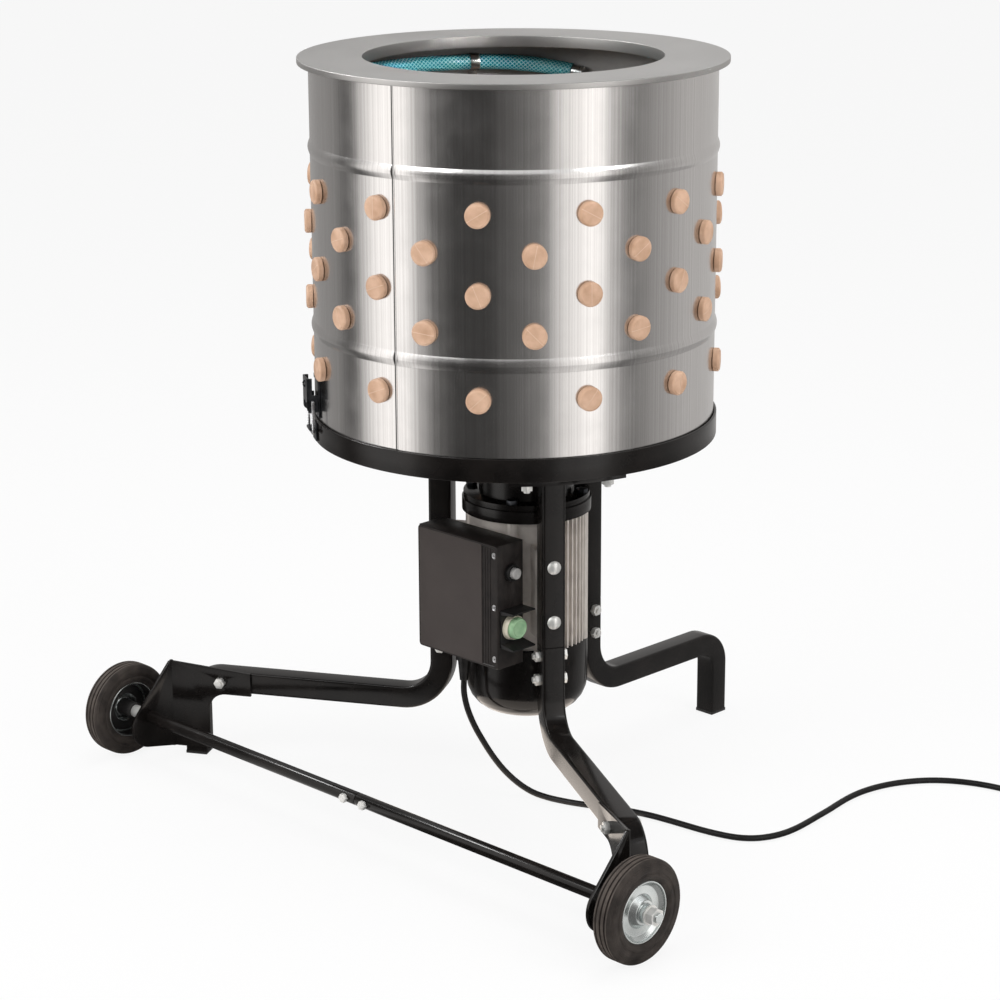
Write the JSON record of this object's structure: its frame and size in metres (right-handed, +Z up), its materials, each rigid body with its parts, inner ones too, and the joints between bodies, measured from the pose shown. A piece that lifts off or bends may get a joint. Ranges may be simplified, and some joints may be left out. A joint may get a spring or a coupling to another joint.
{
  "type": "poultry plucker",
  "caption": "Drum poultry plucker: finger-lined stainless drum with a turning plate, on a wheeled three-legged stand with a vertical gear motor and control box.",
  "frame": {"origin": "on the floor under the middle of the stand's box, without the cord", "axes": "+X along the axle towards the right wheel, +Y towards the rear foot, +Z up"},
  "size_m": [1.0924, 0.9041, 0.971],
  "materials": {
    "stainless": "polished vertical grain",
    "stainless_satin": "satin",
    "finger_rubber": "matt moulded",
    "hose": "braided, glossy",
    "zinc": "zinc plated",
    "black_paint": "gloss powder coat",
    "black_steel": "black oxide",
    "machined_steel": "machined",
    "windings": "varnished",
    "cast_alloy": "as cast",
    "box_paint": "matt",
    "start_green": "glossy",
    "bezel_cream": "moulded",
    "reset_grey": "moulded",
    "black_plastic": "moulded",
    "cord": "smooth sheath",
    "tyre": "moulded tread",
    "black_rubber": "moulded"
  },
  "bodies": {
    "stand": {"drum_shell": "stainless", "drum_rim": "stainless_satin", "drum_fingers": "finger_rubber", "irrigation_hose": "hose", "hose_clips": "zinc", "hose_fittings": "zinc", "latch_bases": "black_steel", "latch_pins": "zinc", "latch_catches": "black_steel", "base_ring": "black_paint", "base_spider": "black_paint", "ring_bolts": "zinc", "ball_bearings": "machined_steel", "shaft_seal": "black_rubber", "stator": "windings", "gearbox_housing": "black_paint", "end_bell": "black_paint", "gearbox_bolts": "black_steel", "motor_body": "cast_alloy", "fan_cowl": "black_paint", "control_box": "box_paint", "control_lid": "box_paint", "lid_screws": "zinc", "start_bezel": "bezel_cream", "reset_collar": "black_plastic", "switch_guard": "black_plastic", "cord_gland": "black_plastic", "power_cord": "cord", "cord_coil": "cord", "power_plug": "cord", "upper_posts": "black_paint", "front_legs": "black_paint", "rear_leg": "black_paint", "post_bolts": "zinc", "leg_bolts": "zinc", "wheel_brackets": "black_paint", "axle_shaft": "zinc", "axle_sleeves": "black_paint", "axle_fasteners": "zinc", "foot_pads": "black_rubber"},
    "plate": {"feather_plate": "stainless_satin", "plate_fingers": "finger_rubber", "plate_bolt": "zinc", "output_shaft": "machined_steel", "output_gear": "machined_steel"},
    "idler": {"idler_shaft": "machined_steel"},
    "rotor": {"motor_shaft": "machined_steel", "rotor_core": "machined_steel", "cooling_fan": "black_plastic"},
    "wheel_left": {"left_tyre": "tyre", "left_wheel": "zinc"},
    "wheel_right": {"right_tyre": "tyre", "right_wheel": "zinc"},
    "front_lever": {"front_latch_lever": "black_steel"},
    "front_bail": {"front_latch_bail": "black_steel"},
    "rear_lever": {"rear_latch_lever": "black_steel"},
    "rear_bail": {"rear_latch_bail": "black_steel"},
    "start": {"start_button": "start_green"},
    "reset": {"reset_button": "reset_grey"}
  },
  "joints": [
    {"name": "plate_spin", "type": "hinge", "parent": "stand", "child": "plate", "pos_m": [0, -0.03425, 0.51], "axis": [0, 0, 1], "continuous": true},
    {"name": "idler_spin", "type": "hinge", "parent": "stand", "child": "idler", "pos_m": [0.02952, -0.02325, 0.41], "axis": [0, 0, 1], "continuous": true},
    {"name": "rotor_spin", "type": "hinge", "parent": "stand", "child": "rotor", "pos_m": [0, -0.01225, 0.3], "axis": [0, 0, 1], "continuous": true},
    {"name": "wheel_left_spin", "type": "hinge", "parent": "stand", "child": "wheel_left", "pos_m": [-0.4715, -0.31525, 0.0635], "axis": [1, 0, 0], "continuous": true},
    {"name": "wheel_right_spin", "type": "hinge", "parent": "stand", "child": "wheel_right", "pos_m": [0.4715, -0.31525, 0.0635], "axis": [1, 0, 0], "continuous": true},
    {"name": "front_latch_swing", "type": "hinge", "parent": "stand", "child": "front_lever", "pos_m": [-0.1376, -0.25967, 0.54], "axis": [0.8536, -0.521, 0], "range_deg": [0, 150]},
    {"name": "front_bail_swing", "type": "hinge", "parent": "front_lever", "child": "front_bail", "pos_m": [-0.1376, -0.25967, 0.548], "axis": [0.8536, -0.521, 0], "range_deg": [-150, 0]},
    {"name": "rear_latch_swing", "type": "hinge", "parent": "stand", "child": "rear_lever", "pos_m": [0.07013, 0.22037, 0.54], "axis": [-0.9641, 0.2656, 0], "range_deg": [0, 150]},
    {"name": "rear_bail_swing", "type": "hinge", "parent": "rear_lever", "child": "rear_bail", "pos_m": [0.07013, 0.22037, 0.548], "axis": [-0.9641, 0.2656, 0], "range_deg": [-150, 0]},
    {"name": "start_press", "type": "slide", "parent": "stand", "child": "start", "axis": [-1, 0, 0], "range_m": [0, 0.004], "stiffness_N_per_m": 800},
    {"name": "reset_press", "type": "slide", "parent": "stand", "child": "reset", "axis": [-1, 0, 0], "range_m": [0, 0.003], "stiffness_N_per_m": 600}
  ],
  "couplings": [
    {"joint": "idler_spin", "follows": "plate_spin", "ratio": -2.5},
    {"joint": "rotor_spin", "follows": "plate_spin", "ratio": 6.25},
    {"joint": "front_bail_swing", "follows": "front_latch_swing", "ratio": -1},
    {"joint": "rear_bail_swing", "follows": "rear_latch_swing", "ratio": -1}
  ]
}
